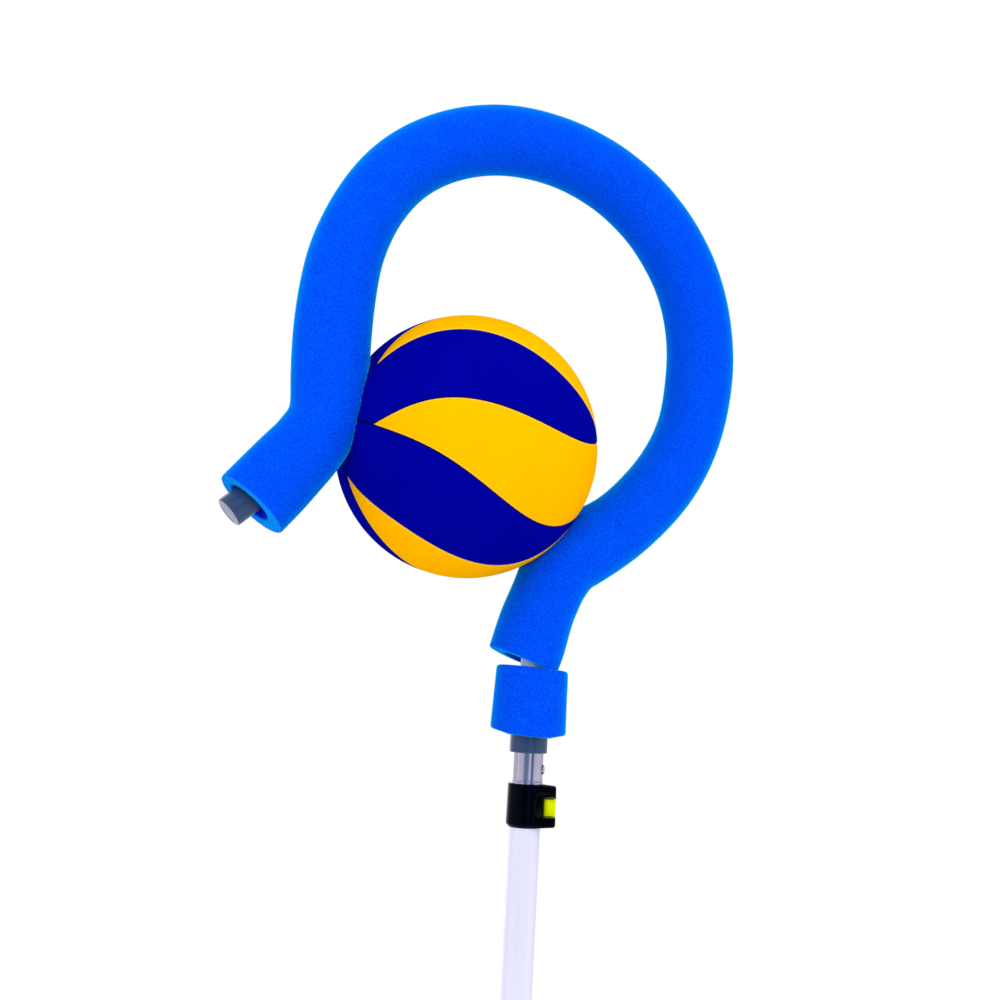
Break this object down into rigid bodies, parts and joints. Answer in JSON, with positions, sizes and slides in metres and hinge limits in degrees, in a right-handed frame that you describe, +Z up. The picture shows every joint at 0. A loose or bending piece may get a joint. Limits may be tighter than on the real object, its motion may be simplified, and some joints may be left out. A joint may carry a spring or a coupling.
{
  "type": "volleyball spike trainer",
  "caption": "Hand-held telescopic pole with a foam-covered hook that grips a volleyball for spiking practice; flip clamp and snap button at the joint.",
  "frame": {"origin": "centre of the pole's foot, on the ground face", "axes": "+Z up the pole; the hook lies in the XZ plane with its free end towards -X; the ball comes out towards +Y"},
  "size_m": [0.4374, 0.2098, 1.7661],
  "materials": {
    "blue_foam": "matt open-cell sponge foam",
    "anodised_tube": "satin anodised",
    "bright_metal": "polished plating",
    "grey_plastic": "moulded, slightly satin",
    "black_plastic": "smooth gloss moulding",
    "lime_plastic": "satin moulding",
    "black_rubber": "ribbed matt rubber",
    "steel": "brushed",
    "navy_panel": "dimpled synthetic leather",
    "yellow_panel": "dimpled synthetic leather",
    "bladder_rubber": "matt rubber"
  },
  "bodies": {
    "pole": {"outer_tube": "anodised_tube", "foot_cap": "black_rubber", "hand_grip": "black_rubber", "clamp_body": "black_plastic", "clamp_rivet": "steel", "lever_pin": "steel"},
    "guide": {"guide_plug": "grey_plastic"},
    "mast": {"inner_tube": "anodised_tube", "socket_ferrule": "bright_metal", "head_coupling": "grey_plastic", "coupling_pin": "steel", "ferrule_rivet_back": "steel", "ferrule_rivet_front": "steel", "hook_tube": "anodised_tube", "hook_foam": "blue_foam", "foam_collar": "blue_foam", "tail_end_cap": "grey_plastic"},
    "button": {"snap_button": "steel", "button_spring": "steel"},
    "lever": {"cam_lever": "lime_plastic"},
    "shoe": {"pressure_shoe": "steel"},
    "ball": {"ball_panel_yellow_1": "yellow_panel", "ball_panel_yellow_2": "yellow_panel", "ball_panel_yellow_3": "yellow_panel", "ball_panel_yellow_4": "yellow_panel", "ball_panel_yellow_5": "yellow_panel", "ball_panel_navy_1": "navy_panel", "ball_panel_navy_2": "navy_panel", "ball_panel_navy_3": "navy_panel", "ball_panel_navy_4": "navy_panel", "ball_panel_navy_5": "navy_panel", "ball_bladder": "bladder_rubber", "ball_valve": "bladder_rubber"}
  },
  "joints": [
    {"name": "pole_extend", "type": "slide", "parent": "pole", "child": "guide", "axis": [0, 0, 1], "range_m": [0, 0.85]},
    {"name": "mast_turn", "type": "hinge", "parent": "guide", "child": "mast", "pos_m": [0, 0, 1.2], "axis": [0, 0, 1], "continuous": true},
    {"name": "button_press", "type": "slide", "parent": "mast", "child": "button", "axis": [-0.829, 0.5592, 0], "range_m": [0, 0.003], "stiffness_N_per_m": 800, "springref_m": -0.002},
    {"name": "lever_flip", "type": "hinge", "parent": "pole", "child": "lever", "pos_m": [0.01628, -0.01017, 1.1911], "axis": [0, 0, -1], "range_deg": [0, 110]},
    {"name": "shoe_release", "type": "slide", "parent": "pole", "child": "shoe", "axis": [0.848, -0.5299, 0], "range_m": [0, 0.0009]},
    {"name": "ball_release", "type": "slide", "parent": "mast", "child": "ball", "axis": [0, 1, 0], "range_m": [0, 0.25]}
  ],
  "couplings": [
    {"joint": "shoe_release", "follows": "lever_flip", "m_per_rad": 0.0004}
  ]
}
